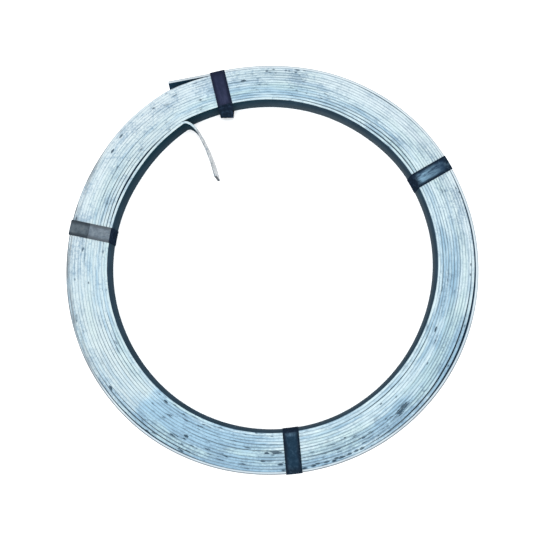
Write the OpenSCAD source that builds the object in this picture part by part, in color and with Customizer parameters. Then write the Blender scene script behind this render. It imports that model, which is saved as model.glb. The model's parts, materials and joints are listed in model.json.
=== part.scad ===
// Galvanized flat bar, wound on its flat into a coil and held by four steel straps.
// The coil lies on the floor. The origin is on its axis at floor level, and +Z is up.

/* [Flat bar] */
// Width of the bar, which is the height of the coil
bar_width = 30; // [20:1:50]
// Thickness of the bar
bar_thickness = 4; // [3:0.5:6]
// Chamfer on the bar's rolled corners
bar_corner = 0.7; // [0.3:0.1:1.2]

/* [Coil] */
// Diameter of the coil's eye
eye_diameter = 534; // [400:2:900]
// Number of turns from the eye to the rim
turns = 14; // [8:1:20]
// Gap between neighbouring turns
turn_gap = 0.6; // [0.4:0.1:1.5]
// Depth to which the gaps between the turns are open, at both ends of the coil
turn_gap_depth = 3; // [1.5:0.5:8]

/* [Inner end] */
// Place on the eye where the inner end leaves the wall, in degrees
inner_leave_angle = 121.7; // [118:0.1:150]
// Radius of the sharp bend off the wall, at the middle of the bar
inner_kink_radius = 8; // [6:0.5:20]
// Turn of the sharp bend, in degrees
inner_kink_sweep = 77; // [60:1:90]
// Radius of the easy bend that follows it
inner_ease_radius = 112; // [60:1:200]
// Turn of the easy bend, in degrees
inner_ease_sweep = 16; // [5:1:25]
// Turn of the last stretch, which keeps the curve of the eye, in degrees
inner_run_sweep = 15; // [5:1:25]

/* [Outer end] */
// Stretch of the outermost turn between the back strap and the point where the outer end springs away
outer_leave_gap = 2; // [1:0.5:10]
// Radius of the bend that springs the outer end away from the coil
outer_spring_radius = 100; // [60:1:200]
// Turn of that bend, in degrees
outer_spring_sweep = 10.5; // [6:0.5:20]
// Straight length of the outer end
outer_straight = 50; // [20:1:120]

/* [Straps] */
// Width of the straps
strap_width = 25; // [16:1:32]
// Thickness of the straps
strap_thickness = 0.8; // [0.5:0.1:1.2]
// Clearance between a strap and the coil
strap_clearance = 0.2; // [0.1:0.05:0.4]
// Place of the right strap round the coil, in degrees
right_angle = 28.5; // [15:0.5:45]
// Place of the back strap round the coil, in degrees
back_angle = 105.5; // [95:0.5:106]
// Place of the left strap round the coil, in degrees
left_angle = 170.5; // [160:0.5:185]
// Place of the front strap round the coil, in degrees
front_angle = 276.9; // [260:0.1:290]
// How far the slack back strap bows into the eye
back_slack = 12; // [0:1:16]
// Length over which the left strap's ends lap on top of the coil
top_lap = 31; // [15:1:45]
// Length over which the other straps' ends lap on the rim of the coil
rim_lap = 22; // [10:1:24]

/* [Hidden] */

// Fineness of the drawn curves
$fn = 180;
// Overrun of the shapes that trim others
cut_overrun = 5;

// The straps run a little askew of the radius, each by its own angle in degrees
right_skew = 1.4;
back_skew = -1.9;
left_skew = -2.5;
front_skew = -1.8;

// Radii of the coil
eye_radius = eye_diameter / 2;
turn_pitch = bar_thickness + turn_gap;
rim_radius = eye_radius + turns * turn_pitch - turn_gap;
mid_radius = (eye_radius + rim_radius) / 2;

// Heights: the coil lies on the lower runs of its straps
coil_bottom = strap_thickness + strap_clearance;
coil_top = coil_bottom + bar_width;
strap_inside_top = coil_top + strap_clearance;

// Both ends stand this far off the wall where they grow out of their turn
end_step = turn_gap / 4;
// Place where the outer end springs away, just past the edge of the back strap
outer_leave_angle = back_angle + back_skew
    + asin((strap_width / 2 + outer_leave_gap - mid_radius * sin(back_skew)) / rim_radius);

// Inside of a strap: its bends, its two upright runs and the height between the bends
strap_bend = bar_corner + strap_clearance;
strap_eye_run = eye_radius - strap_clearance;
strap_rim_run = rim_radius + strap_clearance;
strap_upright = strap_inside_top - strap_thickness - 2 * strap_bend;
// Length over which the covering end of a lap rises to its second layer
lap_ramp = 5 * strap_thickness;
// Steps that draw one bend of a strap, and the bow of a slack run
bend_steps = 5;
bow_steps = 16;
// Steps that draw the sharp bend and each easy bend of the bar's ends
kink_steps = 12;
ease_steps = 6;

// Corners of the bar's section: thickness along X, from the middle, and width along Y, from zero
function bar_outline() =
    let (side = bar_thickness / 2)
    [
        [bar_corner - side, 0], [side - bar_corner, 0],
        [side, bar_corner], [side, bar_width - bar_corner],
        [side - bar_corner, bar_width], [bar_corner - side, bar_width],
        [-side, bar_width - bar_corner], [-side, bar_corner]
    ];

// The turns, side by side, with the gaps between them open at both ends of the coil
module wound_turns() {
    rotate_extrude() {
        for (turn = [0 : turns - 1])
            translate([eye_radius + bar_thickness / 2 + turn * turn_pitch, 0])
                polygon(bar_outline());
        translate([eye_radius + bar_thickness / 2, turn_gap_depth])
            square([rim_radius - eye_radius - bar_thickness, bar_width - 2 * turn_gap_depth]);
    }
}

// A pose along the middle of the bar is its X, its Y and its heading in degrees.
// Pose on a wall at a given radius and angle, heading round the coil by the turn given
function wall_pose(radius, angle, turn) = [radius * cos(angle), radius * sin(angle), angle + turn];

// Poses along a right-hand bend that sets out from a pose
function bend_poses(pose, radius, sweep, steps) = [
    for (step = [1 : steps])
        let (heading = pose.z - sweep * step / steps)
        [
            pose.x + radius * (sin(pose.z) - sin(heading)),
            pose.y + radius * (cos(heading) - cos(pose.z)),
            heading
        ]
];

// Pose at the end of a straight stretch
function straight_pose(pose, length) = [pose.x + length * cos(pose.z), pose.y + length * sin(pose.z), pose.z];

function last(list) = list[len(list) - 1];

// The bar drawn along a list of poses
module bar_along(poses) {
    outline = bar_outline();
    count = len(outline);
    stations = len(poses);
    points = [
        for (pose = poses)
            for (corner = outline)
                [pose.x - corner.x * sin(pose.z), pose.y + corner.x * cos(pose.z), corner.y]
    ];
    sides = [
        for (station = [0 : stations - 2])
            for (corner = [0 : count - 1])
                let (next = (corner + 1) % count, near = station * count, far = near + count)
                [near + corner, far + corner, far + next, near + next]
    ];
    near_cap = [[for (corner = [0 : count - 1]) corner]];
    far_cap = [[for (corner = [count - 1 : -1 : 0]) (stations - 1) * count + corner]];
    polyhedron(points, concat(sides, near_cap, far_cap));
}

// The inner end, bent off the wall into the eye
module inner_end() {
    start = wall_pose(eye_radius + bar_thickness / 2 - end_step, inner_leave_angle, -90);
    kink = bend_poses(start, inner_kink_radius, inner_kink_sweep, kink_steps);
    ease = bend_poses(last(kink), inner_ease_radius, inner_ease_sweep, ease_steps);
    run = bend_poses(last(ease), eye_radius, inner_run_sweep, ease_steps);
    bar_along(concat([start], kink, ease, run));
}

// The outer end, sprung away from the rim
module outer_end() {
    start = wall_pose(rim_radius - bar_thickness / 2 + end_step, outer_leave_angle, 90);
    spring = bend_poses(start, outer_spring_radius, outer_spring_sweep, ease_steps);
    bar_along(concat([start], spring, [straight_pose(last(spring), outer_straight)]));
}

// Points round a quarter bend, from the direction start
function quarter(centre, radius, start) = [
    for (step = [0 : bend_steps])
        centre + radius * [cos(start + 90 * step / bend_steps), sin(start + 90 * step / bend_steps)]
];

// Points down the run in the eye: a bow with straight ends, offset squarely to the bow
function eye_run(offset, slack) = [
    for (step = [1 : bow_steps - 1])
        let (
            share = step / bow_steps,
            lean = slack * PI * sin(360 * share),
            length = norm([strap_upright, lean])
        )
        [
            strap_eye_run - slack * pow(sin(180 * share), 2) - offset * strap_upright / length,
            strap_inside_top - strap_bend - strap_upright * share + offset * lean / length
        ]
];

// Closed outline of a strap round the coil's section, a given offset outside its inside face
function strap_outline(offset, slack) = concat(
    quarter([strap_rim_run - strap_bend, strap_thickness + strap_bend], strap_bend + offset, 270),
    quarter([strap_rim_run - strap_bend, strap_inside_top - strap_bend], strap_bend + offset, 0),
    quarter([strap_eye_run + strap_bend, strap_inside_top - strap_bend], strap_bend + offset, 90),
    eye_run(offset, slack),
    quarter([strap_eye_run + strap_bend, strap_thickness + strap_bend], strap_bend + offset, 180)
);

// The covering end of a lap on top: it rises up the rim, bends over and ends on the top run
module lap_on_top() {
    corner = [strap_rim_run - strap_bend, strap_inside_top - strap_bend];
    seat = strap_thickness / 2;
    cover = 2 * strap_thickness;
    under = quarter(corner, strap_bend + seat, 0);
    polygon(concat(
        [[strap_rim_run + seat, corner.y - lap_ramp]],
        quarter(corner, strap_bend + cover, 0),
        [[rim_radius - top_lap, strap_inside_top + cover], [rim_radius - top_lap, strap_inside_top + seat]],
        [for (step = [bend_steps : -1 : 0]) under[step]]
    ));
}

// The covering end of a lap on the rim: it rises from the lower bend and ends below the upper one
module lap_on_rim() {
    start = strap_thickness + (strap_inside_top - strap_thickness - rim_lap) / 2;
    seat = strap_rim_run + strap_thickness / 2;
    cover = strap_rim_run + 2 * strap_thickness;
    polygon([
        [seat, start], [cover, start + lap_ramp], [cover, start + rim_lap], [seat, start + rim_lap]
    ]);
}

// A strap round the coil: its outline turned about the coil's axis and trimmed to the strap's width.
// Its child is the covering end of its lap.
module strap(angle, skew, slack = 0) {
    half_sector = asin(strap_width / (eye_radius - slack));
    reach = rim_radius - eye_radius + 2 * (back_slack + cut_overrun);
    rise = strap_inside_top + 2 * (strap_thickness + cut_overrun);
    intersection() {
        rotate([0, 0, angle - half_sector])
            rotate_extrude(angle = 2 * half_sector) {
                difference() {
                    polygon(strap_outline(strap_thickness, slack));
                    polygon(strap_outline(0, slack));
                }
                children();
            }
        rotate([0, 0, angle])
            translate([mid_radius, 0, strap_inside_top / 2])
                rotate([0, 0, skew])
                    cube([reach, strap_width, rise], center = true);
    }
}

// The wound bar, with its two loose ends
module flat_bar_coil() {
    color("lightsteelblue")
        translate([0, 0, coil_bottom]) {
            wound_turns();
            inner_end();
            outer_end();
        }
}

// Strap at the right
module right_strap() {
    color("darkslategray")
        strap(right_angle, right_skew)
            lap_on_rim();
}

// Strap at the back, slack in the eye, which holds the outer end down
module back_strap() {
    color("darkslateblue")
        strap(back_angle, back_skew, back_slack)
            lap_on_rim();
}

// Strap at the left, lapped on top
module left_strap() {
    color("dimgray")
        strap(left_angle, left_skew)
            lap_on_top();
}

// Strap at the front
module front_strap() {
    color("darkslategray")
        strap(front_angle, front_skew)
            lap_on_rim();
}

flat_bar_coil();
right_strap();
back_strap();
left_strap();
front_strap();
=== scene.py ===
import json
import math
import random
from functools import cached_property

import bpy
import numpy as np
from bpy.props import FloatProperty, FloatVectorProperty, IntProperty, PointerProperty
from mathutils import Matrix, Vector


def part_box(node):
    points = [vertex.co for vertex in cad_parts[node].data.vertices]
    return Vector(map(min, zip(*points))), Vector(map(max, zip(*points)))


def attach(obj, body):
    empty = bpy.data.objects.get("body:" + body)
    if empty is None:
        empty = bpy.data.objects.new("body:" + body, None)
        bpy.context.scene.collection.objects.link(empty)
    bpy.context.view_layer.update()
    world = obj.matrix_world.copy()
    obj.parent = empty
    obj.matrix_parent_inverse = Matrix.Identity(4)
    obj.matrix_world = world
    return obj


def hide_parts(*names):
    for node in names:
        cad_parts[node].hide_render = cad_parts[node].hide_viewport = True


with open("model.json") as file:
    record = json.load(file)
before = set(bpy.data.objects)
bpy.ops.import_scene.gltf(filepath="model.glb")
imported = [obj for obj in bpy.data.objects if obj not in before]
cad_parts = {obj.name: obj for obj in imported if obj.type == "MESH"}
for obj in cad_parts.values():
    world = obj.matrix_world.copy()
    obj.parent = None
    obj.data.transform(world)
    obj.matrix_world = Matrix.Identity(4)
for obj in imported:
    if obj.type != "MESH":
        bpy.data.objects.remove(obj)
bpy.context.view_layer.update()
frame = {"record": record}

bl_info = {
    "name": "Strapped coil of flat bar",
    "version": (1, 0, 0),
    "blender": (4, 5, 0),
    "location": "View3D > Sidebar > Flat bar",
    "description": "Winds a galvanized flat bar into a coil, straps it and sets it on a studio floor",
    "category": "Object",
}

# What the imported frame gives: the coil's box, and the rest face below each strap
COIL_LOW, COIL_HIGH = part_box("flat_bar_coil")
REST_FACES = {mount["name"]: Vector(mount["pos_m"]) for mount in frame["record"]["mounts"]}
MM = 0.001

# Lie of the winding. Angles are plan angles in degrees, anticlockwise from +X, and lengths are millimetres.
WIND_START = 122.0
WIND_LEAVE = 107.8
STATIONS_PER_TURN = 240
TURN_ANGLES = WIND_START + 360 * np.arange(STATIONS_PER_TURN) / STATIONS_PER_TURN
# Uneven spots to a turn: in the gaps, and in the height of the edges
GAP_SPOTS = 9
RISE_SPOTS = 5
# Wall of the eye: how far the first turn stands outside the eye's nominal radius
EYE_WALL = [
    (122, 2.5), (135, -1.5), (147, -4.4), (160, -5.4), (195, -4.5), (213, -3), (237, 0.2), (275, 1.5),
    (290, 1.5), (310, 0), (336, -1.2), (363, 0.4), (381, 1), (394, 2), (414, 0.7), (441, 1.5), (459, 2.8),
    (470, 4),
]
# Sum of all the gaps between the turns
SLACK = [
    (122, 8.1), (135, 11), (153, 11.5), (180, 11), (213, 12), (231, 10.5), (255, 7.5), (275, 6), (290, 6.5),
    (309, 8.5), (333, 10), (363, 7), (392, 5.8), (411, 7), (429, 5.6), (450, 3.2), (459, 3.6), (468, 5),
]
# Gaps that stand open: the turn inside the gap, its first and last angle, and its extra share of the slack
OPEN_GAPS = [
    (0, 124, 174, 6.5), (5, 126, 172, 1.4), (2, 128, 180, 1.8), (1, 130, 184, 2.0), (3, 132, 178, 1.6),
    (1, 186, 244, 1.1), (2, 186, 240, 1.1), (4, 186, 238, 0.9), (6, 186, 238, 0.8), (8, 186, 236, 0.6),
    (3, 188, 238, 0.9), (5, 188, 238, 0.5), (7, 190, 236, 0.5), (11, 203, 262, 3.0), (12, 203, 262, 3.6),
    (10, 208, 255, 1.9), (5, 236, 300, 1.5), (8, 240, 330, 1.2), (3, 240, 290, 1.2), (1, 284, 352, 2.8),
    (11, 286, 374, 6.0), (12, 290, 402, 9.0), (7, 336, 374, 1.5), (5, 338, 380, 1.5), (1, 340, 384, 1.6),
    (3, 346, 386, 1.2), (0, 380, 424, 4.0), (1, 380, 424, 3.0), (1, 384, 462, 4.0), (0, 386, 468, 4.5),
    (2, 390, 455, 2.2), (12, 394, 436, 4.0), (4, 395, 440, 1.2), (3, 410, 465, 1.5), (5, 420, 466, 1.2),
    (7, 425, 468, 1.0),
]
# Loose ends: right-hand bends as radius and sweep, going away from the winding
INNER_BENDS = [(9.5, 59), (30, 25), (70, 14), (290, 15)]
OUTER_BENDS = [(100, 3)]
OUTER_STRAIGHT = 71
# Longest step on a loose end, in degrees round a bend and in millimetres on a straight stretch
BEND_STEP = 5
# Slant of the outer end's cut: how far its lower edge stands out past its upper edge
OUTER_SLANT = 3.5
# Lean of the inner tip, in degrees, with its upper edge to the left, and the power by which it eases off
INNER_LEAN = 4
LEAN_EASE = 0.7

# Marks on the zinc, as plan angle and radius: dark blots, specks and dots, and paler and bluer stretches
BLOTS = [(310.7, 310), (312.7, 307.5), (272.4, 297)]
SPECKS = [
    (337, 282), (269.4, 298.5), (273.3, 315.5), (268.4, 310), (279.6, 324.5), (234, 274), (245, 302.5),
    (219, 319.5), (139.7, 323), (144.7, 318), (98, 305), (282.2, 323.5), (283.3, 322), (285.8, 322.5),
    (287.9, 324.5), (288.6, 322), (290, 323), (292.3, 322.8), (294.4, 322.6), (296, 323),
]
DOTS = [
    (79.5, 324), (82, 318.5), (84, 320), (85, 320.6), (88, 315.5), (88.7, 321.5), (89.7, 316.4),
    (90.7, 318.6), (185.5, 315), (187, 293), (231, 289), (293, 298), (301.7, 318.5), (307.6, 282.5),
    (312.6, 289.5), (326.5, 294), (355.6, 318), (358.5, 318.6), (18, 325), (19.6, 323.6), (21, 321.5),
]
PALE_PLACES = [
    (194, 302), (205, 298), (216, 300), (223, 290), (45, 318), (62, 316), (281, 285), (303, 281), (322, 282),
    (353, 318),
]
BLUE_PLACES = [
    (240, 300), (258, 302), (83, 298), (92, 296), (100, 302), (0, 296), (150, 315), (160, 298), (185, 290),
    (331, 305),
]
# Dark marks: places, half length and breadth, the share of that which is full, ragged outline and strength
DARK_MARKS = [
    (BLOTS, (10.5, 4.2), 0.6, 4.0, 0.9),
    (SPECKS, (5, 2.2), 0.6, 2.0, 0.95),
    (DOTS, (3, 1.7), 0.5, 1.6, 0.75),
]
# Paler and bluer stretches: half length and breadth, and the share of that which is full
PALE_SIZE = (90, 30)
BLUE_SIZE = (90, 40)
SOFT_CORE = 0.3
# Distances from the middle of a mark count up to this many of its half sizes
FURTHEST = 2.0
# Plan angle past which the zinc turns bluer all at once, and half the breadth of that change
BLUE_FROM = 228.5
BLUE_FADE = 7

# Sides of the coil: the axis that each is measured on, where it begins and where it is full, in millimetres
SIDES = {
    "front": (1, 120, -260),
    "front_half": (1, -60, -200),
    "front_third": (1, -120, -180),
    "far_front": (1, -200, -300),
    "back": (1, 0, 200),
    "back_half": (1, -140, 120),
    "far_back": (1, 220, 310),
    "right": (0, -280, 50),
    "right_half": (0, -120, 120),
    "left": (0, -80, -200),
    "left_half": (0, 20, -80),
    "far_left": (0, -240, -320),
    "upper": (2, 15, 20),
}
# Radii where the look of the outer turns and that of the rubbed rim begin and are full
OUTER_TURNS = (290, 314)
RUBBED_RIM = (318.5, 327)
# Stretches along the bar, from its nearer tip: worn zinc on its edges and its flats, the shaded side of the
# outer tip, and where the outer end lies on the coil
WORN_INNER_EDGE = (100, 80)
WORN_INNER_FLAT = (120, 100)
WORN_OUTER = (90, 70)
SHADED_TIP = (0, 30)
WOUND_IN = (140, 200)
# Stretches from the end of the first turn, past which the bar's inner side is covered and before which it
# is not, and from the start of the last turn
COVERED = (0, 100)
UNCOVERED = (0, -100)
OUTERMOST = (-150, 250)
# Shares of the first turn where its edge turns paler
PALER_TURN = (0.42, 0.6)
# Bands across the bar's edge, from its middle towards the rim
EYE_CORNER = (-0.9, -1.7)
SHADED_HALF = (0.4, -1)
BOTH_CORNERS = (0.6, 1.7)
# Painted shade on the rim's rounded outer corner
RIM_CORNER_SHADE = (-0.2, 0.9)
# Bands up the bar's flat, from its middle, and how far the band beside the edges wavers
# On the side that faces the eye, the brow band deepens painted shade and the foot band paints light
FLAT_BROW = (0, 13)
FLAT_FOOT = (9, -13)
FLAT_LIP = (12.2, 14.2)
LIP_WAVER = 6

# The four straps: the rest face below each, its finish slot, its skew in degrees, the slack of its run in
# the eye at its clockwise and its anticlockwise edge, and how far these edges draw in there
STRAPS = {
    "right_strap": ("rest_right", "strap_blue", 1.4, (0, 0), (0, 0)),
    "back_strap": ("rest_back", "strap_dark", -1.9, (17.5, 12), (4, 0)),
    "left_strap": ("rest_left", "strap_grey", -2.5, (0, 0), (0, 0)),
    "front_strap": ("rest_front", "strap_blue", -1.8, (0, 0), (0, 0)),
}
# Wear and painted reflection on the straps: the shares of the top run, from the rim, where the lighter
# streaks begin, are full and end, then how strongly they show and how strong the finer mottle is
# On the right, left and front straps these streaks are painted reflection as well as rubbing
STRAP_WEAR_AND_SHEEN = {
    "right": ((0.1, 0.75, 0.95), 0.62, 0.12),
    "back": ((0.0, 1.0, 1.0), 0.35, 0.2),
    "left": ((0.2, 1.0, 1.05), 0.5, 0.45),
    "left_lap": ((0.2, 1.0, 1.05), 0.4, 0.45),
    "front": ((0.88, 0.98, 1.0), 0.95, 0.2),
}
# Stations on the runs of a strap
RIM_STEPS = 6
TOP_STEPS = 24
EYE_STEPS = 16
LOW_STEPS = 12
COVER_STEPS = 14
LAP_STEPS = 12
QUARTER_STEPS = 5
# Rounded edge of a strap, as shares of half its thickness, and its flat, as shares of half its width
ROUND_SHARES = (0.3, 0.7)
FLAT_SHARES = (-0.6, -0.2, 0.2, 0.6)
# Length over which a strap's cover rises on to the end below it, in strap thicknesses
LAP_RAMP = 5
# Bends of a strap sharper than this, in degrees, show as edges
SHARP_BEND = 50
# Steps that close in on a wall of the coil
WALL_TRIES = 6


# Settings

def whole(name, description, value):
    """A whole number to set."""
    return IntProperty(name=name, description=description, default=value)


def number(name, description, value, unit="NONE"):
    """A number to set."""
    return FloatProperty(name=name, description=description, default=value, unit=unit)


def metres(name, description, value):
    """A length to set, in metres."""
    return number(name, description, value, "LENGTH")


def point(name, description, value):
    """A place to set, in metres."""
    return FloatVectorProperty(name=name, description=description, default=value, subtype="TRANSLATION")


def colour(name, description, value):
    """A colour to set, as linear red, green and blue."""
    return FloatVectorProperty(name=name, description=description, default=value, subtype="COLOR")


class BarSettings(bpy.types.PropertyGroup):
    """Sizes of the wound bar."""

    thickness: metres("Thickness", "Thickness of the bar", 0.004)
    corner: metres("Corner", "Radius of its rolled corners", 0.00038)
    corner_steps: whole("Corner steps", "Faces round each corner", 3)
    turns: whole("Turns", "Number of turns in the coil", 14)
    eye_radius: metres("Eye", "Nominal radius of the eye", 0.267)
    play: number("Play", "How unevenly the turns share the slack", 0.8)
    fill: number("Fill", "How far zinc fills the gaps that aren't open", 0.94)
    rise: metres("Rise", "How unevenly the edges stand", 0.0004)
    seed: whole("Seed", "Start of the winding's uneven spots", 7)


class ZincSettings(bpy.types.PropertyGroup):
    """Colours of the zinc coat."""

    frost: colour("Frost", "Palest zinc on the edges", (0.445, 0.545, 0.575))
    ice: colour("Ice", "Bluish zinc on the edges", (0.23, 0.365, 0.465))
    pale_green: colour("Pale green", "Greenish bloom on the edges", (0.39, 0.515, 0.505))
    cream: colour("Cream", "Warmer zinc at the left", (0.375, 0.44, 0.45))
    last: colour("Last", "Greyer zinc on the last turns", (0.49, 0.54, 0.568))
    worn: colour("Worn", "Greyer zinc of the loose ends", (0.37, 0.375, 0.38))
    # Also paints shade on the rim's rounded outer corner; elsewhere real flecks, rubbing and a darker corner
    # on the loose ends
    rim: colour("Rim", "Rubbed outer corner of the rim", (0.115, 0.13, 0.14))
    stain: colour("Stain", "Grey stains on the edges", (0.13, 0.21, 0.29))
    # Colour of the darker lines along the corners of the edges, and of the painted shade on the outer tip's
    # shaded half
    seam: colour("Seam", "Dirt along the corners of the edges", (0.045, 0.09, 0.13))
    speck: colour("Speck", "Dark specks on the edges", (0.010, 0.032, 0.055))
    # Painted shade: the side that faces the eye is coloured dark, standing for that side in shadow
    inside: colour("Inside", "Dull coat on the side that faces the eye", (0.018, 0.034, 0.050))
    # Painted shade: darker still at the back, most towards the top of that side
    teal_shade: colour("Teal", "Darker coat on that side at the back", (0.0065, 0.0265, 0.0385))
    # Painted light: the shaded side lighter and greyer towards its bottom
    lit_foot: colour("Foot", "Greyer coat at the bottom of that side", (0.062, 0.078, 0.088))
    # Painted shade: the bluish look of the shaded gaps between the turns
    depth: colour("Depth", "Bluish coat between the turns", (0.03, 0.085, 0.16))
    lip: colour("Lip", "Zinc beside the edges, between the turns", (0.26, 0.36, 0.42))
    outside: colour("Outside", "Coat on the side that faces the rim", (0.36, 0.41, 0.44))
    bloom: colour("Bloom", "White bloom on the outer side", (0.62, 0.67, 0.69))
    # Dark bare steel, made darker still as painted shade
    cut: colour("Cut", "Sheared ends of the bar", (0.012, 0.018, 0.025))


class StrapSettings(bpy.types.PropertyGroup):
    """Sizes and colours of the packing straps."""

    width: metres("Width", "Width of a strap", 0.025)
    thickness: metres("Thickness", "Thickness of a strap", 0.0008)
    clearance: metres("Clearance", "Gap under a strap", 0.00015)
    lap_gap: metres("Lap gap", "Gap between its lapped ends", 0.00005)
    bend: metres("Bend", "Inner radius of its bends", 0.0009)
    rim_lap: metres("Rim lap", "Lap on the rim", 0.022)
    top_lap: metres("Top lap", "Lap of the left strap on top", 0.031)
    # Each strap's edge colour also paints shade on its bends over the rim and into the eye
    right: colour("Right", "Right strap", (0.010, 0.027, 0.054))
    right_edge: colour("Right edge", "Edges of the right strap", (0.002, 0.008, 0.019))
    # Painted reflection as well as rubbing: the right strap's lighter streaks
    right_scuff: colour("Right scuff", "Rubbed streaks on the right strap", (0.21, 0.36, 0.48))
    back: colour("Back", "Back strap", (0.010, 0.0145, 0.036))
    back_edge: colour("Back edge", "Edges of the back strap", (0.005, 0.008, 0.021))
    back_scuff: colour("Back scuff", "Rubbed spots on the back strap", (0.04, 0.045, 0.09))
    left: colour("Left", "Left strap", (0.082, 0.108, 0.135))
    left_edge: colour("Left edge", "Edges of the left strap", (0.06, 0.072, 0.085))
    # Painted reflection as well as rubbing: the left strap's lighter spots
    left_scuff: colour("Left scuff", "Rubbed spots on the left strap", (0.185, 0.215, 0.24))
    left_lap: colour("Left lap", "Covering end of the left strap", (0.062, 0.082, 0.099))
    left_lap_edge: colour("Left lap edge", "Edges of that end", (0.022, 0.030, 0.038))
    # Painted reflection as well as rubbing, on that end
    left_lap_scuff: colour("Left lap scuff", "Rubbed spots on that end", (0.11, 0.12, 0.125))
    front: colour("Front", "Front strap", (0.005, 0.021, 0.041))
    front_edge: colour("Front edge", "Edges of the front strap", (0.002, 0.008, 0.017))
    # Painted highlight as well as rubbing: the front strap's lighter band near the eye
    front_scuff: colour("Front scuff", "Rubbed spots on the front strap", (0.085, 0.15, 0.215))
    # Painted shade: the strap's runs in the eye darkened as faces in shadow
    in_eye_shade: colour("In the eye", "Dull strap faces in the eye", (0.0065, 0.012, 0.022))


class StageSettings(bpy.types.PropertyGroup):
    """Floor, light and camera."""

    floor: colour("Floor", "Pale floor", (0.86, 0.87, 0.88))
    glow: number("Glow", "Strength of the floor's own light", 0.3)
    floor_size: metres("Floor size", "Side of the floor", 8.0)
    sky: number("Sky", "Strength of the even light all round", 1.05)
    sky_tint: colour("Sky tint", "Colour of the even light", (0.96, 0.98, 1.0))
    lamp: number("Lamp", "Power of the soft lamp overhead", 30.0, "POWER")
    lamp_size: metres("Lamp size", "Side of the soft lamp", 1.6)
    lamp_place: point("Lamp place", "Place of the lamp", (-0.2, 0.05, 1.8))
    lens: number("Lens", "Focal length in millimetres", 33.27)
    near: metres("Near", "Least distance that the camera sees", 0.01)
    eye_point: point("Camera", "Place of the camera", (0.0282, -0.1066, 0.8229))
    aim_point: point("Aim", "Point that it looks at", (0.0023, -0.0168, 0.031))


class CoilProject(bpy.types.PropertyGroup):
    """All settings of the coil and its stage."""

    bar: PointerProperty(type=BarSettings)
    zinc: PointerProperty(type=ZincSettings)
    strap: PointerProperty(type=StrapSettings)
    stage: PointerProperty(type=StageSettings)


# Curves and winding

def drawn_curve(stations, where):
    """Smooth curve through given stations: cubic pieces whose slopes come from their neighbours."""
    places = np.array([station[0] for station in stations], float)
    values = np.array([station[1] for station in stations], float)
    slopes = np.gradient(values, places)
    near = np.clip(np.searchsorted(places, where, side="right") - 1, 0, len(places) - 2)
    span = places[near + 1] - places[near]
    share = (where - places[near]) / span
    rest = 1 - share
    start = values[near] * rest ** 2 * (1 + 2 * share) + slopes[near] * span * share * rest ** 2
    end = values[near + 1] * share ** 2 * (1 + 2 * rest) - slopes[near + 1] * span * rest * share ** 2
    return start + end


def round_curve(stations, where, period):
    """The same through stations that repeat after one period."""
    before = [(place - period, value) for place, value in stations[-2:]]
    after = [(place + period, value) for place, value in stations[:3]]
    return drawn_curve(before + stations + after, where)


def turns_along(turns):
    """How many turns along the winding each station is."""
    return np.arange(turns * STATIONS_PER_TURN) / STATIONS_PER_TURN


def wander(turns, seed, spots_per_turn):
    """Uneven spots along the winding, from -1 to 1, one row of stations to a turn. Its ends join up."""
    draw = random.Random(seed)
    spots = [(spot / spots_per_turn, draw.uniform(-1, 1)) for spot in range(turns * spots_per_turn)]
    return round_curve(spots, turns_along(turns), turns).reshape(turns, STATIONS_PER_TURN)


def open_gaps(turns):
    """Extra shares of the slack, where a gap stands open."""
    along = turns_along(turns)
    extra = np.zeros_like(along)
    for turn, first, last, share in OPEN_GAPS:
        start = turn + (first - WIND_START) / 360
        end = turn + (last - WIND_START) / 360
        inside = np.clip((along - start) / (end - start), 0, 1)
        extra += share * np.sin(math.pi * inside) ** 2
    return extra.reshape(turns, STATIONS_PER_TURN)


def wound_radii(bar):
    """Radius of the bar's inner side and the zinc on its outer side, one row of stations to a turn. Each turn
    lies on the one before it."""
    slack = round_curve(SLACK, TURN_ANGLES, 360) * MM
    closed = np.exp(bar.play * wander(bar.turns - 1, bar.seed, GAP_SPOTS))
    shares = closed + open_gaps(bar.turns - 1)
    gaps = slack * shares / shares.sum(axis=0)
    seam = EYE_WALL[0][1] + (bar.thickness + gaps[0][0]) / MM
    first_turn = bar.eye_radius + drawn_curve(EYE_WALL + [(WIND_START + 360, seam)], TURN_ANGLES) * MM
    radii = [first_turn]
    for gap in gaps:
        radii.append(radii[-1] + bar.thickness + gap)
    zinc = np.concatenate([bar.fill * gaps * closed / shares, np.zeros((1, STATIONS_PER_TURN))])
    return np.array(radii), zinc


def loose_end(before, at, bends, straight=0.0):
    """Points of a loose end that goes on from a last step in right-hand bends and a straight stretch."""
    heading = math.atan2(at[1] - before[1], at[0] - before[0])
    x, y = at
    points = []
    for radius, sweep in bends:
        steps = math.ceil(sweep / BEND_STEP)
        for step in range(steps):
            turned = heading - math.radians(sweep / steps)
            x += radius * MM * (math.sin(heading) - math.sin(turned))
            y += radius * MM * (math.cos(turned) - math.cos(heading))
            heading = turned
            points.append((x, y))
    steps = math.ceil(straight / BEND_STEP)
    for step in range(steps):
        x += straight * MM / steps * math.cos(heading)
        y += straight * MM / steps * math.sin(heading)
        points.append((x, y))
    return points


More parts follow.
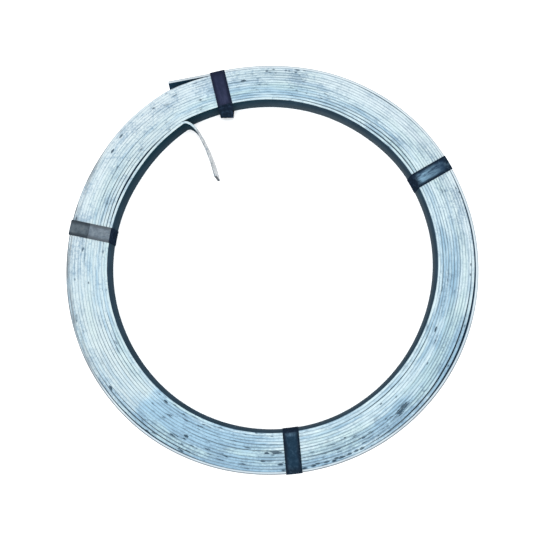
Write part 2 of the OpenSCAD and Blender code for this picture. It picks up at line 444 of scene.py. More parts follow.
def bar_route(bar):
    """Plan points along the middle of the bar from its inner tip to its outer tip, the zinc on its outer side
    at each, and the inner end's count."""
    radii, zinc = wound_radii(bar)
    radii = radii.ravel() + bar.thickness / 2
    last_turn = round((WIND_LEAVE + 360 - WIND_START) / 360 * STATIONS_PER_TURN)
    wound = STATIONS_PER_TURN * (bar.turns - 1) + last_turn
    angle = np.radians(WIND_START + 360 * np.arange(wound) / STATIONS_PER_TURN)
    turns = np.stack([radii[:wound] * np.cos(angle), radii[:wound] * np.sin(angle)], axis=1)
    inner = loose_end(turns[1], turns[0], INNER_BENDS)
    outer = loose_end(turns[-2], turns[-1], OUTER_BENDS, OUTER_STRAIGHT)
    zinc = np.concatenate([np.zeros(len(inner)), zinc.ravel()[:wound], np.zeros(len(outer))])
    return np.concatenate([inner[::-1], turns, outer]), zinc, len(inner)


# Meshes

# Finishes round the bar's section and at its ends, and along a strap
EDGE, INSIDE, OUTSIDE, CUT = range(4)
BODY, LAP, IN_EYE = range(3)
# A face half way round a corner counts with the flat, so an edge face has to be this much flatter
HALF_WAY = 1.01


def bar_section(width, thickness, corner, steps):
    """Points, normals and side kinds round the bar's section: across from the eye to the rim, and up."""
    centres = [(1, -1, -90), (1, 1, 0), (-1, 1, 90), (-1, -1, 180)]
    points, normals = [], []
    for across, up, start in centres:
        for step in range(steps + 1):
            angle = math.radians(start + 90 * step / steps)
            normal = np.array([math.cos(angle), math.sin(angle)])
            centre = np.array([across * (thickness / 2 - corner), up * (width / 2 - corner)])
            points.append(centre + corner * normal)
            normals.append(normal)
    kinds = []
    for side, normal in enumerate(normals):
        facing = normal + normals[(side + 1) % len(normals)]
        flat = OUTSIDE if facing[0] > 0 else INSIDE
        kinds.append(EDGE if abs(facing[1]) > abs(facing[0]) * HALF_WAY else flat)
    return np.array(points), np.array(normals), kinds


def swept_mesh(name, rings, slots, caps, along, spans, ring_normals=None):
    """A closed mesh through rings of points, with its run along and across kept as a UV map named run.
    slots gives each side's finish, ring by ring, caps the finish of the two ends, and spans the run across
    at both edges of each side."""
    size = len(spans)
    last = len(rings) - 1
    faces, finishes, normals, runs = [], [], [], []
    for ring in range(last):
        for side in range(size):
            after = (side + 1) % size
            corners = ((ring, side, 0), (ring + 1, side, 0), (ring + 1, after, 1), (ring, after, 1))
            faces.append([at * size + point for at, point, edge in corners])
            finishes.append(slots[ring][side])
            runs += [(along[at], spans[side][edge]) for at, point, edge in corners]
            if ring_normals is not None:
                normals += [ring_normals[at][point] for at, point, edge in corners]
    for at, order, finish in ((0, range(size), caps[0]), (last, range(size - 1, -1, -1), caps[1])):
        faces.append([at * size + point for point in order])
        finishes.append(finish)
        runs += [(along[at], spans[point][0]) for point in order]
        inward = np.mean(rings[1 if at == 0 else last - 1] - rings[at], axis=0)
        normals += [-inward / np.linalg.norm(inward)] * size
    mesh = bpy.data.meshes.new(name)
    mesh.from_pydata(np.concatenate(rings).tolist(), [], faces)
    mesh.polygons.foreach_set("material_index", finishes)
    mesh.polygons.foreach_set("use_smooth", [True] * len(faces))
    run = mesh.uv_layers.new(name="run")
    run.uv.foreach_set("vector", np.array(runs, np.float32).ravel())
    if ring_normals is None:
        mesh.set_sharp_from_angle(angle=math.radians(SHARP_BEND))
    else:
        mesh.normals_split_custom_set([tuple(normal) for normal in normals])
    return mesh


def headings(route):
    """Unit steps along a route of points."""
    steps = np.gradient(route, axis=0)
    return steps / np.linalg.norm(steps, axis=1)[:, None]


def lengths_along(route):
    """Length of a route up to each of its points."""
    return np.concatenate([[0], np.cumsum(np.linalg.norm(np.diff(route, axis=0), axis=1))])


def tip_lean(count, inner_count):
    """Lean of the bar at each of its stations: full at its inner tip, and none past its inner end."""
    lean = np.zeros(count)
    lean[:inner_count] = math.radians(INNER_LEAN) * (1 - np.arange(inner_count) / inner_count) ** LEAN_EASE
    return lean


def bar_mesh(bar):
    """The wound bar: its section drawn along the whole route, with uneven edges and a leaning inner tip.
    Also gives its length, and the lengths up to the end of its first turn and to the start of its last."""
    route, zinc, inner_count = bar_route(bar)
    width = COIL_HIGH.z - COIL_LOW.z
    points, normals, kinds = bar_section(width - bar.rise, bar.thickness, bar.corner, bar.corner_steps)
    outer = points[:, :1] > 0
    steps = headings(route)
    sideways = np.stack([steps[:, 1], -steps[:, 0], np.zeros(len(route))], axis=1)
    uneven = wander(bar.turns, bar.seed + 1, RISE_SPOTS).ravel()
    height = uneven * bar.rise / 2 + (COIL_LOW.z + COIL_HIGH.z) / 2
    station = np.clip(np.arange(len(route)) - inner_count, 0, len(height) - 1)
    lean = tip_lean(len(route), inner_count)
    rings, ring_normals = [], []
    for index, (x, y) in enumerate(route):
        over = sideways[index] * math.cos(lean[index]) + np.array([0, 0, math.sin(lean[index])])
        up = np.array([0, 0, math.cos(lean[index])]) - sideways[index] * math.sin(lean[index])
        middle = np.array([x, y, height[station[index]]])
        rings.append(middle + (points[:, :1] + outer * zinc[index]) * over + points[:, 1:] * up)
        ring_normals.append(normals[:, :1] * over + normals[:, 1:] * up)
    rings[-1] = rings[-1] - np.append(steps[-1], 0) * points[:, 1:] * OUTER_SLANT * MM / width
    along = lengths_along(route)
    after = np.roll(points, -1, axis=0)
    axes = [0 if kind == EDGE else 1 for kind in kinds]
    spans = [(points[side][axis], after[side][axis]) for side, axis in enumerate(axes)]
    mesh = swept_mesh("flat_bar", rings, [kinds] * len(rings), (CUT, CUT), along, spans, ring_normals)
    first_turn = inner_count + STATIONS_PER_TURN
    last_turn = inner_count + STATIONS_PER_TURN * (bar.turns - 1)
    return mesh, *(float(along[mark]) for mark in (-1, first_turn, last_turn))


def quarter(centre, radius, start):
    """Points round a quarter bend of a strap, without its first."""
    angles = [math.radians(start + 90 * step / QUARTER_STEPS) for step in range(1, QUARTER_STEPS + 1)]
    return [(centre[0] + radius * math.cos(angle), centre[1] + radius * math.sin(angle)) for angle in angles]


def between(start, end, steps):
    """Points on a straight run of a strap, without its first."""
    start = np.array(start)
    run = np.array(end) - start
    return [tuple(start + run * step / steps) for step in range(1, steps + 1)]


def strap_route(eye, rim, laps_on_top, strap):
    """Points along the middle of a strap: up the rim, over the top, down the eye, back below and up to its
    lap. Also gives how far it sags at each, as a share, then where its top run starts and ends, where its run
    in the eye ends and where its cover rises."""
    half = strap.thickness / 2
    bend = strap.bend + half
    left = eye - strap.clearance - half
    right = rim + strap.clearance + half
    top = COIL_HIGH.z + strap.clearance + half
    low_end = (top - strap.rim_lap) / 2
    upper, lower = top - bend, half + bend
    start = upper - 2 * bend if laps_on_top else low_end
    points = [(right, start)]
    points += between((right, start), (right, upper), RIM_STEPS)
    points += quarter((right - bend, upper), bend, 0)
    top_start = len(points) - 1
    points += between((right - bend, top), (left + bend, top), TOP_STEPS)
    top_end = len(points) - 1
    points += quarter((left + bend, upper), bend, 90)
    eye_start = len(points)
    points += between((left, upper), (left, lower), EYE_STEPS)
    eye_end = len(points) - 1
    points += quarter((left + bend, lower), bend, 180)
    points += between((left + bend, half), (right - bend, half), LOW_STEPS)
    points += quarter((right - bend, lower), bend, 270)
    rise = len(points) - 1
    if laps_on_top:
        points += between((right, lower), (right, upper), COVER_STEPS)
        points += quarter((right - bend, upper), bend, 0)
        points += between((right - bend, top), (right - strap.top_lap, top), LAP_STEPS)
    else:
        points += between((right, lower), (right, low_end + strap.rim_lap), COVER_STEPS)
    sag = np.zeros(len(points))
    sag[eye_start:eye_end + 1] = np.sin(math.pi * np.arange(1, EYE_STEPS + 1) / EYE_STEPS) ** 2
    return np.array(points), sag, (top_start, top_end, eye_end, rise)


def wall_distance(base, heading, radii_at, guess):
    """Distance along a heading, from a base point, at which a wall with a radius for each angle is met."""
    distance = guess
    for attempt in range(WALL_TRIES):
        point = base + heading * distance
        radius = np.linalg.norm(point)
        wanted = radii_at(math.degrees(math.atan2(point[1], point[0])))
        distance += (wanted - radius) / np.dot(heading, point / radius)
    return distance


def coil_walls(bar):
    """Radius of the coil's eye and of its rim, as functions of the plan angle."""
    radii = wound_radii(bar)[0]

    def wall(row):
        return lambda angle: np.interp(WIND_START + (angle - WIND_START) % 360, TURN_ANGLES, row)

    return wall(radii[0]), wall(radii[-1] + bar.thickness)


def strap_section(strap):
    """Points across a strap, from its clockwise edge over its outside and back, with rounded edges."""
    half = strap.width / 2
    thin = strap.thickness / 2
    inward, outward = ROUND_SHARES
    edge = [(-half, 0), (-half + inward * thin, outward * thin), (-half + thin, thin)]
    flat = [(share * half, thin) for share in FLAT_SHARES]
    outside = edge + flat + [(-offset, height) for offset, height in edge[:0:-1]]
    return outside + [(-offset, -height) for offset, height in outside]


def strap_mesh(name, lie, walls, strap):
    """A strap round the coil's section, which follows the wound turns, with its ends lapped."""
    rest, skew, slacks, pinches = lie
    middle = np.array(REST_FACES[rest].xy)
    bearing = math.atan2(middle[1], middle[0])
    angle = bearing + math.radians(skew)
    heading = np.array([math.cos(angle), math.sin(angle)])
    aside = np.array([-heading[1], heading[0]])
    edges = (-strap.width / 2, strap.width / 2)
    eye_radius, rim_radius = (wall(math.degrees(bearing)) for wall in walls)
    half_breadth = (rim_radius - eye_radius) / 2
    section = strap_section(strap)
    columns = []
    for offset, height in section:
        base = middle + aside * offset
        slack = np.interp(offset, edges, slacks) * MM
        pinch = np.interp(offset, edges, (pinches[0], -pinches[1])) * MM
        eye = wall_distance(base, heading, walls[0], -half_breadth)
        rim = wall_distance(base, heading, walls[1], half_breadth)
        points, sag, (top_start, top_end, eye_end, rise) = strap_route(eye, rim, name == "left_strap", strap)
        points[:, 0] -= slack * sag
        steps = headings(points)
        outward = np.stack([steps[:, 1], -steps[:, 0]], axis=1)
        length = lengths_along(points)
        ramp = np.clip((length - length[rise]) / (LAP_RAMP * strap.thickness), 0, 1)
        layer = (strap.thickness + strap.lap_gap) * ramp ** 2 * (3 - 2 * ramp)
        points = points + outward * (height + layer)[:, None]
        plan = base + points[:, :1] * heading + np.outer(pinch * sag, aside)
        columns.append(np.column_stack([plan, points[:, 1]]))
    # The run along is 0 where the top run starts, at the rim, and 1 where it ends
    share = (length - length[top_start]) / (length[top_end] - length[top_start])
    rings = np.stack(columns, axis=1)[:, ::-1]
    across = [offset * 2 / strap.width for offset, height in section[::-1]]
    spans = list(zip(across, across[1:] + across[:1]))
    slots = [[BODY] * len(spans) for ring in rings]
    slots[top_end:eye_end] = [[IN_EYE] * len(spans)] * (eye_end - top_end)
    slots[rise:] = [[LAP] * len(spans)] * (len(rings) - rise)
    return swept_mesh(name + "_band", list(rings), slots, (BODY, LAP), share, spans)


# Shader formulas

# Sockets of a colour mix: its share, the colours below and above, and its result
MIX_SHARE, MIX_BELOW, MIX_ABOVE, MIX_RESULT = 0, 6, 7, 2


class Value:
    """A node's output, with the maths that shader formulas use."""

    def __init__(self, finish, socket):
        self.finish = finish
        self.socket = socket

    def __add__(self, other):
        return self.finish.math("ADD", self, other)

    def __sub__(self, other):
        return self.finish.math("SUBTRACT", self, other)

    def __rsub__(self, other):
        return self.finish.math("SUBTRACT", other, self)

    def __mul__(self, other):
        return self.finish.math("MULTIPLY", self, other)

    def __abs__(self):
        return self.finish.math("ABSOLUTE", self, 0.0)

    __radd__ = __add__


class Finish:
    """A material in the making: its node tree and the ways to add to it."""

    def __init__(self, name):
        self.material = bpy.data.materials.new(name)
        self.material.use_nodes = True
        self.tree = self.material.node_tree
        self.tree.nodes.clear()

    def node(self, kind, settings=None, sockets=None, output=0):
        """Adds a node, sets it up, then fills or links its sockets, and gives one of its outputs."""
        node = self.tree.nodes.new(kind)
        for setting, value in (settings or {}).items():
            setattr(node, setting, value)
        for socket, value in (sockets or {}).items():
            if isinstance(value, Value):
                self.tree.links.new(value.socket, node.inputs[socket])
            else:
                node.inputs[socket].default_value = value
        return Value(self, node.outputs[output]) if node.outputs else None

    def math(self, operation, first, second):
        """A Math node on two values."""
        return self.node("ShaderNodeMath", {"operation": operation}, {0: first, 1: second})

    def part(self, vector, axis):
        """One of the three numbers of a vector."""
        return self.node("ShaderNodeSeparateXYZ", sockets={0: vector}, output=axis)

    def stretched(self, vector, factors):
        """A vector times one factor for each axis."""
        return self.node("ShaderNodeVectorMath", {"operation": "MULTIPLY"}, {0: vector, 1: factors})

    @cached_property
    def place(self):
        """The point on the object, in metres."""
        return self.node("ShaderNodeTexCoord", output="Object")

    @cached_property
    def run(self):
        """The point along and across the piece."""
        return self.node("ShaderNodeUVMap", {"uv_map": "run"})

    @cached_property
    def along(self):
        """How far along the piece the point is."""
        return self.part(self.run, 0)

    @cached_property
    def across(self):
        """How far across the piece it is."""
        return self.part(self.run, 1)

    @cached_property
    def radius(self):
        """Distance from the coil's axis."""
        flat = self.stretched(self.place, (1.0, 1.0, 0.0))
        return self.node("ShaderNodeVectorMath", {"operation": "LENGTH"}, {0: flat}, "Value")

    def wound(self, along, across):
        """The point on the coil, stretched by one factor along its turns and by another across them."""
        parts = [self.part(self.place, 0) * along, self.part(self.place, 1) * along, self.radius * across]
        return self.node("ShaderNodeCombineXYZ", sockets=dict(enumerate(parts)))

    def noise(self, vector, scale, detail=2.0, roughness=0.5):
        """Cloudy noise, from about 0 to 1."""
        return self.node("ShaderNodeTexNoise", {"noise_dimensions": "3D"},
                         {"Vector": vector, "Scale": scale, "Detail": detail, "Roughness": roughness})

    def streaks(self, along, across, detail=2.0, roughness=0.5):
        """Noise with one scale along the piece and another across it."""
        return self.noise(self.stretched(self.run, (along, across, 0.0)), 1.0, detail, roughness)

    def bands(self, along, across, detail=2.0, roughness=0.5):
        """Noise with one scale along the coil's turns and another across them."""
        return self.noise(self.wound(along, across), 1.0, detail, roughness)

    def mask(self, value, low, high):
        """Zero up to low, one from high on, and smooth between."""
        return self.node("ShaderNodeMapRange", {"interpolation_type": "SMOOTHSTEP"},
                         {"Value": value, "From Min": low, "From Max": high})

    def limit(self, length, begin, full):
        """A mask on a length, whose ends are given in millimetres."""
        return self.mask(length, begin * MM, full * MM)

    def side(self, name):
        """One on a named side of the coil, and smooth towards the rest."""
        axis, begin, full = SIDES[name]
        return self.limit(self.part(self.place, axis), begin, full)

    def near(self, spots, size, core, ragged=0.0):
        """One in the core of each of some spots on the coil, and nothing beyond its length and breadth."""
        length, breadth = (extent * MM for extent in size)
        here = self.wound(1 / length, 1 / breadth)
        closest = FURTHEST
        for angle, radius in spots:
            x = radius * MM * math.cos(math.radians(angle))
            y = radius * MM * math.sin(math.radians(angle))
            middle = (x / length, y / length, radius * MM / breadth)
            off = self.node("ShaderNodeVectorMath", {"operation": "DISTANCE"}, {0: here, 1: middle}, "Value")
            closest = self.math("MINIMUM", off, closest)
        return self.mask(closest + ragged, 1.0, core)

    def tint(self, base, over, share):
        """One colour laid over another by a share."""
        sockets = {MIX_SHARE: share, MIX_BELOW: solid(base), MIX_ABOVE: solid(over)}
        return self.node("ShaderNodeMix", {"data_type": "RGBA"}, sockets, MIX_RESULT)

    def bump(self, height, distance, strength):
        """A normal that follows a height."""
        sockets = {"Height": height, "Distance": distance, "Strength": strength}
        return self.node("ShaderNodeBump", sockets=sockets)

    def surface(self, sockets):
        """Ends the material in a principled surface."""
        shader = self.node("ShaderNodeBsdfPrincipled", sockets=sockets)
        self.node("ShaderNodeOutputMaterial", sockets={"Surface": shader})
        return self.material


def solid(value):
    """A colour setting with full alpha, or a linked colour as it is."""
    return value if isinstance(value, Value) else (*value, 1.0)


def toned(value, factor):
    """A colour setting made lighter or darker."""
    return [channel * factor for channel in value]


# Finishes

class EdgeFinish(Finish):
    """The zinc on the bar's narrow edges in the making, with the noises and masks that its marks share."""

    def __init__(self, zinc, length, first_turn, last_turn):
        super().__init__("zinc_edge")
        self.zinc = zinc
        self.to_tip = length - self.along
        self.inner_end = self.limit(self.along, *WORN_INNER_EDGE)
        self.outer_end = self.limit(self.to_tip, *WORN_OUTER)
        paler_from, paler_full = PALER_TURN
        self.innermost = self.mask(self.along, first_turn * paler_from, first_turn * paler_full)
        self.innermost *= self.limit(self.along - first_turn, *UNCOVERED)
        self.outermost = self.limit(self.along - last_turn, *OUTERMOST)
        self.outer_turns = self.limit(self.radius, *OUTER_TURNS)
        self.front = self.side("front")
        self.far_front = self.side("far_front")
        self.pale = self.near(PALE_PLACES, PALE_SIZE, SOFT_CORE)
        self.patch = self.bands(17.0, 120.0, 3.0, 0.6)
        self.cloud = self.noise(self.place, 34.0, 3.0, 0.6)
        self.mottle = self.streaks(70.0, 420.0, 4.0, 0.65)
        self.fleck = self.streaks(380.0, 700.0, 2.0, 0.6)
        self.dashes = self.streaks(17.0, 300.0, 3.0, 0.65)
        self.grey = self.mask(self.patch * 0.35 + self.mottle * 0.6 + self.fleck * 0.4, 0.60, 0.90)

    def past_blue_line(self):
        """One past the line where the zinc turns bluer all at once, on the front left."""
        line = math.radians(BLUE_FROM)
        short = self.part(self.place, 0) * math.sin(line) - self.part(self.place, 1) * math.cos(line)
        past = self.limit(short, BLUE_FADE, -BLUE_FADE)
        return past * self.side("front_third") * self.side("left_half")

    def bloom(self):
        """Frosty zinc with bluish, greenish and warmer stretches, greyer outer turns and a paler first."""
        zinc = self.zinc
        band = self.bands(4.0, 55.0)
        tone = self.streaks(4.0, 0.0, 3.0, 0.6)
        bluer = self.near(BLUE_PLACES, BLUE_SIZE, SOFT_CORE) - self.pale
        past = self.past_blue_line()
        blue = band * 0.45 + self.patch * 0.6 + tone * 0.5 + self.mottle * 0.35
        blue = self.mask(blue + self.front * 0.13 + bluer * 0.12 + past * 0.1, 0.84, 1.22)
        shade = self.tint(zinc.frost, zinc.ice, blue)
        green = self.mask(self.bands(9.0, 50.0, 3.0) + (self.mottle - 0.5) * 0.3, 0.5, 0.66)
        shade = self.tint(shade, zinc.pale_green, green * 0.6)
        warm = self.side("left") * (1 - past)
        shade = self.tint(shade, zinc.cream, warm * (1 - blue * 0.6) * 0.7)
        shade = self.tint(shade, zinc.last, self.outer_turns * self.side("back_half") * 0.45)
        return self.tint(shade, zinc.frost, self.innermost * 0.6)

    def wear(self, shade):
        """Worn loose ends with a darker eye-side corner, stains, blotches, painted shade on the outer tip."""
        zinc = self.zinc
        ends = self.inner_end + self.outer_end
        shade = self.tint(shade, zinc.worn, ends * 0.9)
        shade = self.tint(shade, zinc.stain, self.grey * (1 - ends) * (0.6 - self.pale * 0.3))
        flecked = self.mask(self.mottle * 0.5 + self.fleck * 0.5, 0.46, 0.58)
        shade = self.tint(shade, zinc.rim, flecked * ends * 0.75)
        blot = self.noise(self.place, 230.0, 4.0, 0.75) + self.outer_turns * 0.06
        blotched = self.mask(blot + (self.cloud - 0.5) * 0.7 + self.far_front * 0.06, 0.52, 0.68)
        shade = self.tint(shade, zinc.stain, blotched * (0.55 - self.pale * 0.3))
        shade = self.tint(shade, zinc.rim, ends * self.limit(self.across, *EYE_CORNER) * 0.6)
        # Painted shade on the shaded half of the outer tip, near its end
        shaded = self.outer_end * self.limit(self.to_tip, *SHADED_TIP) * self.limit(self.across, *SHADED_HALF)
        return self.tint(shade, zinc.seam, shaded * 0.9)

    def dirt(self, shade):
        """Darker lines along the corners, scattered specks, and on the upper side the dark marks with places
        of their own.
        """
        zinc = self.zinc
        lines = self.dashes * 0.8 + self.patch * 0.3 + self.side("right") * 0.08 + self.front * 0.05
        darker_corners = self.limit(abs(self.across), *BOTH_CORNERS) * self.mask(lines, 0.52, 0.78)
        shade = self.tint(shade, zinc.seam, darker_corners * (0.85 - self.pale * 0.4))
        specks = self.mask(self.streaks(55.0, 260.0), 0.57, 0.67)
        where = self.cloud + self.front * 0.1 + self.far_front * 0.08 + self.side("far_back") * 0.1
        specks = specks * self.mask(where, 0.57, 0.66)
        shade = self.tint(shade, zinc.speck, specks * (0.9 - self.pale * 0.7))
        upper = self.side("upper")
        for spots, size, core, ragged, strength in DARK_MARKS:
            marked = self.near(spots, size, core, (self.mottle - 0.5) * ragged)
            shade = self.tint(shade, zinc.speck, upper * marked * strength)
        return shade

    def rim(self, shade):
        """Greyer last turn, painted shade on its rounded outer corner, and a rubbed band near the rim at the
        far left.
        """
        zinc = self.zinc
        left = self.side("far_left")
        shade = self.tint(shade, zinc.last, self.outermost * (1 - left) * 0.65)
        # Painted shade: the rounded outer corner of the last turn darkened, more at the front
        corner = self.outermost * self.limit(self.across, *RIM_CORNER_SHADE)
        corner = corner * (self.side("front_half") * 0.45 + 0.5)
        rubbed = left * self.limit(self.radius, *RUBBED_RIM) * self.mask(self.dashes, 0.36, 0.6)
        return self.tint(shade, zinc.rim, corner + rubbed * 0.9)


def zinc_edge(zinc, length, first_turn, last_turn):
    """Pale zinc on the narrow edges: bloom, stains, specks, darker corner lines, painted shade at rim and
    tip.
    """
    finish = EdgeFinish(zinc, length, first_turn, last_turn)
    shade = finish.wear(finish.bloom())
    shade = finish.rim(finish.dirt(shade))
    grain = finish.noise(finish.place, 900.0)
    return finish.surface({
        "Base Color": shade,
        "Metallic": 0.2,
        "Specular IOR Level": 0.2,
        "Roughness": finish.grey * 0.15 + grain * 0.1 + 0.45,
        "Normal": finish.bump(grain * 0.4 + finish.mottle * 0.6, 0.0004, 0.35),
    })


def zinc_and_shade_inside(zinc, length, first_turn):
    """Painted shade on the side that faces the eye, bluish between the turns, with paler zinc beside the
    edges.
    """
    finish = Finish("zinc_and_shade_inside")
    upright = finish.across
    streak = finish.streaks(14.0, 260.0, 3.0, 0.6)
    cloud = finish.noise(finish.place, 30.0, 3.0, 0.6)
    grain = finish.noise(finish.place, 700.0)
    pale = finish.mask(streak * 0.6 + cloud * 0.5, 0.45, 0.75)
    # Painted shade: the dark colour of the side that faces the eye, in paler and darker patches
    shade = finish.tint(zinc.inside, toned(zinc.inside, 1.6), pale)
    right = finish.side("right_half")
    # Painted shade: darker at the back left, most towards the top
    dark = (1 - right) * finish.side("back") * (finish.limit(upright, *FLAT_BROW) * 0.4 + 0.5)
    shade = finish.tint(shade, zinc.teal_shade, dark)
    # Painted light: lighter towards the bottom of the shaded side
    shade = finish.tint(shade, zinc.lit_foot, finish.limit(upright, *FLAT_FOOT) * (right * 0.45 + 0.2))
    waver = (finish.streaks(30.0, 0.0, 3.0, 0.6) - 0.5) * (LIP_WAVER * MM)
    lip = finish.limit(abs(upright) + waver, *FLAT_LIP)
    covered = finish.limit(finish.along - first_turn, *COVERED)
    wound_in = finish.limit(length - finish.along, *WOUND_IN)
    # Painted shade between the turns, where the bar's inner side is covered
    shade = finish.tint(shade, zinc.depth, covered * (wound_in * 0.65 + 0.35))
    shade = finish.tint(shade, zinc.lip, lip * covered * wound_in)
    return finish.surface({
        "Base Color": shade,
        "Metallic": 0.0,
        "Specular IOR Level": 0.0,
        "Roughness": pale * 0.1 + 0.6,
        "Normal": finish.bump(grain * 0.5 + streak * 0.5, 0.0003, 0.3),
    })


def zinc_outside(zinc, length):
    """Spangled galvanized coat on the side that faces the rim, with white bloom and grey streaks."""
    finish = Finish("zinc_outside")
    cells = finish.node("ShaderNodeTexVoronoi", {"feature": "F1"},
                        {"Vector": finish.stretched(finish.run, (0.8, 1.0, 1.0)), "Scale": 130.0}, "Color")
    spangle = finish.part(cells, 0)
    streak = finish.streaks(6.0, 240.0, 3.0, 0.6)
    cloud = finish.noise(finish.place, 26.0, 4.0, 0.65)
    grain = finish.noise(finish.place, 700.0)
    white = finish.mask(cloud * 0.7 + streak * 0.45, 0.55, 0.82)
    shade = finish.tint(toned(zinc.outside, 0.62), zinc.outside, spangle * 0.45 + streak * 0.65)
    shade = finish.tint(shade, zinc.bloom, white * 0.7)
    outer_end = finish.limit(length - finish.along, *WORN_OUTER)
    ends = finish.limit(finish.along, *WORN_INNER_FLAT) + outer_end * 0.3
    shade = finish.tint(shade, zinc.worn, ends * 0.85)
    flecked = finish.mask(finish.streaks(70.0, 300.0, 3.0, 0.65), 0.48, 0.64)
    shade = finish.tint(shade, zinc.rim, ends * flecked * 0.6)
    return finish.surface({
        "Base Color": shade,
        "Metallic": 0.55 - white * 0.35,
        "Roughness": spangle * 0.14 + white * 0.12 + 0.34,
        "Normal": finish.bump(grain * 0.4 + spangle * 0.3 + streak * 0.3, 0.0003, 0.3),
    })


def sheared_end(zinc):
    """Sheared steel at the bar's two ends, dark bare steel made darker as painted shade, with paler tears."""
    finish = Finish("sheared_end")
    tear = finish.noise(finish.stretched(finish.place, (600.0, 600.0, 90.0)), 1.0, 3.0, 0.6)
    return finish.surface({
        "Base Color": finish.tint(zinc.cut, toned(zinc.cut, 3.0), finish.mask(tear, 0.45, 0.75)),
        "Metallic": 0.3,
        "Roughness": tear * 0.2 + 0.5,
        "Normal": finish.bump(tear, 0.0004, 0.5),
    })


def strap_finish(strap, part):
    """Coated steel strap with darker edges, painted shade on its bends, rubbing and painted reflection on
    top, and finer mottle.
    """
    finish = Finish("strap_" + part)
    body, edge, scuff_and_sheen = (getattr(strap, part + kind) for kind in ("", "_edge", "_scuff"))
    (first, full, last), worn, hazy = STRAP_WEAR_AND_SHEEN[part]
    along = finish.along
    soft = finish.streaks(2.0, 1.3)
    streak = finish.streaks(3.2, 5.0, 4.0, 0.65)
    grain = finish.noise(finish.place, 420.0, 3.0, 0.6)
    mottle = finish.noise(finish.place, 120.0, 4.0, 0.7)
    side = finish.mask(abs(finish.across) + (soft - 0.5) * 0.5, 0.42, 0.86)
    # Painted shade: the bends into the eye and over the rim take the darker edge colour
    eye_bend_shade = finish.mask(along, last - 0.1, last + 0.06) * finish.mask(along, 1.9, 1.6)
    rim_bend_shade = finish.mask(along, -0.3, -0.1) * finish.mask(along, 0.22, 0.02)
    plain = (1 - side) * (1 - eye_bend_shade)
    shade = finish.tint(edge, body, plain * (1 - rim_bend_shade))
    top = plain * finish.mask(along, first, full) * finish.mask(along, 1.2, 1.1)
    # Lighter streaks on the top run: rubbing, and on the right, left and front straps painted reflection too
    rubbed = finish.mask(streak * 0.8 + soft * 0.3, 0.42, 0.68) * top
    shade = finish.tint(shade, scuff_and_sheen, rubbed * worn)
    shade = finish.tint(shade, edge, finish.mask(mottle, 0.52, 0.36) * hazy)
    speckle = finish.mask(grain, 0.54, 0.78)
    shade = finish.tint(shade, scuff_and_sheen, speckle * 0.12 + finish.mask(mottle, 0.46, 0.70) * (1 - side) * hazy)
    return finish.surface({
        "Base Color": shade,
        "Specular IOR Level": 0.05,
        "Roughness": 0.42 + grain * 0.15,
        "Normal": finish.bump(grain * 0.5 + streak * 0.5, 0.0003, 0.25),
    })


def strap_in_eye(strap):
    """Painted shade on the strap's runs in the eye, dull and dark."""
    finish = Finish("strap_in_eye")
    grain = finish.noise(finish.place, 260.0, 3.0, 0.6)
    return finish.surface({
        "Base Color": finish.tint(strap.in_eye_shade, toned(strap.in_eye_shade, 2.2), finish.mask(grain, 0.45, 0.7)),
        "Specular IOR Level": 0.0,
        "Roughness": 0.5 + grain * 0.15,
    })


def floor_finish(stage):
    """Plain pale floor that glows a little, as a light table does."""
    finish = Finish("pale_floor")
    return finish.surface({
        "Base Color": solid(stage.floor),
        "Roughness": 0.9,
        "Specular IOR Level": 0.1,
        "Emission Color": solid(stage.floor),
        "Emission Strength": stage.glow,
    })


# Operators

def put(name, mesh, materials, node):
    """Adds a piece that stands for a node, with the finishes it is given, and rides on the one body."""
    piece = bpy.data.objects.new(name, mesh)
    for material in materials:
        mesh.materials.append(material)
    bpy.context.scene.collection.objects.link(piece)
    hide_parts(node)
    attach(piece, "root")


class WindBar(bpy.types.Operator):
    """Wind the flat bar into its coil, with both loose ends"""

    bl_idname = "flat_bar.wind"
    bl_label = "Wind the bar"

    def execute(self, context):
        project = context.scene.flat_bar
        zinc = project.zinc
        mesh, length, first_turn, last_turn = bar_mesh(project.bar)
        finishes = [
            zinc_edge(zinc, length, first_turn, last_turn),
            zinc_and_shade_inside(zinc, length, first_turn),
            zinc_outside(zinc, length),
            sheared_end(zinc),
        ]
        put("wound_bar", mesh, finishes, "flat_bar_coil")
        return {"FINISHED"}


class FitStraps(bpy.types.Operator):
    """Fit the four straps round the coil"""

    bl_idname = "flat_bar.strap"
    bl_label = "Fit the straps"

    def execute(self, context):
        project = context.scene.flat_bar
        strap = project.strap
        walls = coil_walls(project.bar)
        finishes = {part: strap_finish(strap, part) for part in STRAP_WEAR_AND_SHEEN}
        in_eye_shade = strap_in_eye(strap)
        for name, (rest, slot, skew, slacks, pinches) in STRAPS.items():
            part = name.removesuffix("_strap")
            body = finishes[part]
            cover = finishes.get(part + "_lap", body)
            mesh = strap_mesh(name, (rest, skew, slacks, pinches), walls, strap)
            put(name + "_band", mesh, [body, cover, in_eye_shade], name)
        return {"FINISHED"}


def lay_floor(scene, stage):
    """Adds the floor as part of the stage."""
    half = stage.floor_size / 2
    corners = [(-half, -half, 0), (half, -half, 0), (half, half, 0), (-half, half, 0)]
    mesh = bpy.data.meshes.new("floor")
    mesh.from_pydata(corners, [], [(0, 1, 2, 3)])
    mesh.materials.append(floor_finish(stage))
    floor = bpy.data.objects.new("floor", mesh)
    scene.collection.objects.link(floor)


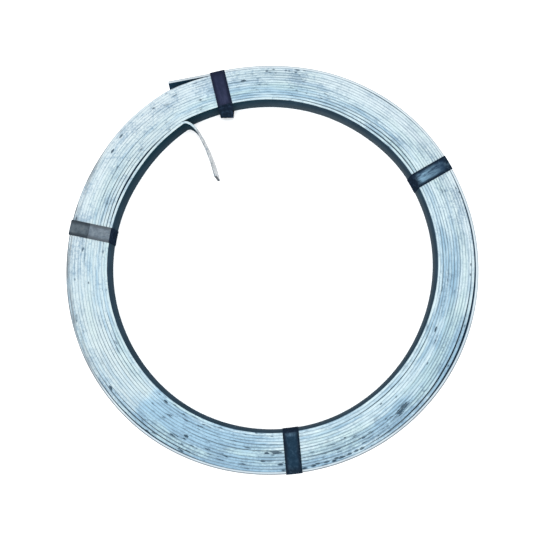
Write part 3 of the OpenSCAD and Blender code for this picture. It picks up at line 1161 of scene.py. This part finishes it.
def hang_light(scene, stage):
    """Adds the even light all round and the soft lamp overhead, which points at the coil."""
    world = bpy.data.worlds.new("studio")
    world.use_nodes = True
    sky = world.node_tree.nodes["Background"]
    sky.inputs["Color"].default_value = solid(stage.sky_tint)
    sky.inputs["Strength"].default_value = stage.sky
    scene.world = world
    light = bpy.data.lights.new("soft_lamp", "AREA")
    light.energy = stage.lamp
    light.size = stage.lamp_size
    lamp = bpy.data.objects.new("soft_lamp", light)
    lamp.location = stage.lamp_place
    lamp.rotation_euler = (-Vector(stage.lamp_place)).to_track_quat("-Z", "Y").to_euler()
    scene.collection.objects.link(lamp)


def set_camera(scene, stage):
    """Adds the camera, aimed with +Y upward in its picture."""
    lens = bpy.data.cameras.new("camera")
    lens.lens = stage.lens
    lens.clip_start = stage.near
    camera = bpy.data.objects.new("camera", lens)
    sight = (Vector(stage.aim_point) - Vector(stage.eye_point)).normalized()
    right = sight.cross(Vector((0, 1, 0))).normalized()
    up = right.cross(sight)
    turn = Matrix((right, up, -sight)).transposed().to_4x4()
    camera.matrix_world = Matrix.Translation(stage.eye_point) @ turn
    scene.collection.objects.link(camera)
    scene.camera = camera


class SetStage(bpy.types.Operator):
    """Set the floor, the light and the camera"""

    bl_idname = "flat_bar.stage"
    bl_label = "Set the stage"

    def execute(self, context):
        scene = context.scene
        stage = scene.flat_bar.stage
        lay_floor(scene, stage)
        hang_light(scene, stage)
        set_camera(scene, stage)
        scene.view_settings.view_transform = "Standard"
        return {"FINISHED"}


class CoilPanel(bpy.types.Panel):
    """Settings of the coil, its straps and the stage"""

    bl_idname = "VIEW3D_PT_flat_bar"
    bl_label = "Strapped coil"
    bl_space_type = "VIEW_3D"
    bl_region_type = "UI"
    bl_category = "Flat bar"

    def draw(self, context):
        project = context.scene.flat_bar
        for operator, settings in (("wind", (project.bar, project.zinc)), ("strap", (project.strap,)),
                                   ("stage", (project.stage,))):
            for group in settings:
                for setting in group.bl_rna.properties:
                    if setting.identifier not in ("rna_type", "name"):
                        self.layout.prop(group, setting.identifier)
            self.layout.operator("flat_bar." + operator)


CLASSES = (BarSettings, ZincSettings, StrapSettings, StageSettings, CoilProject,
           WindBar, FitStraps, SetStage, CoilPanel)


def register():
    for kind in CLASSES:
        bpy.utils.register_class(kind)
    bpy.types.Scene.flat_bar = PointerProperty(type=CoilProject)


def unregister():
    del bpy.types.Scene.flat_bar
    for kind in reversed(CLASSES):
        bpy.utils.unregister_class(kind)


def main():
    register()
    bpy.ops.flat_bar.wind()
    bpy.ops.flat_bar.strap()
    bpy.ops.flat_bar.stage()


if __name__ == "__main__":
    main()
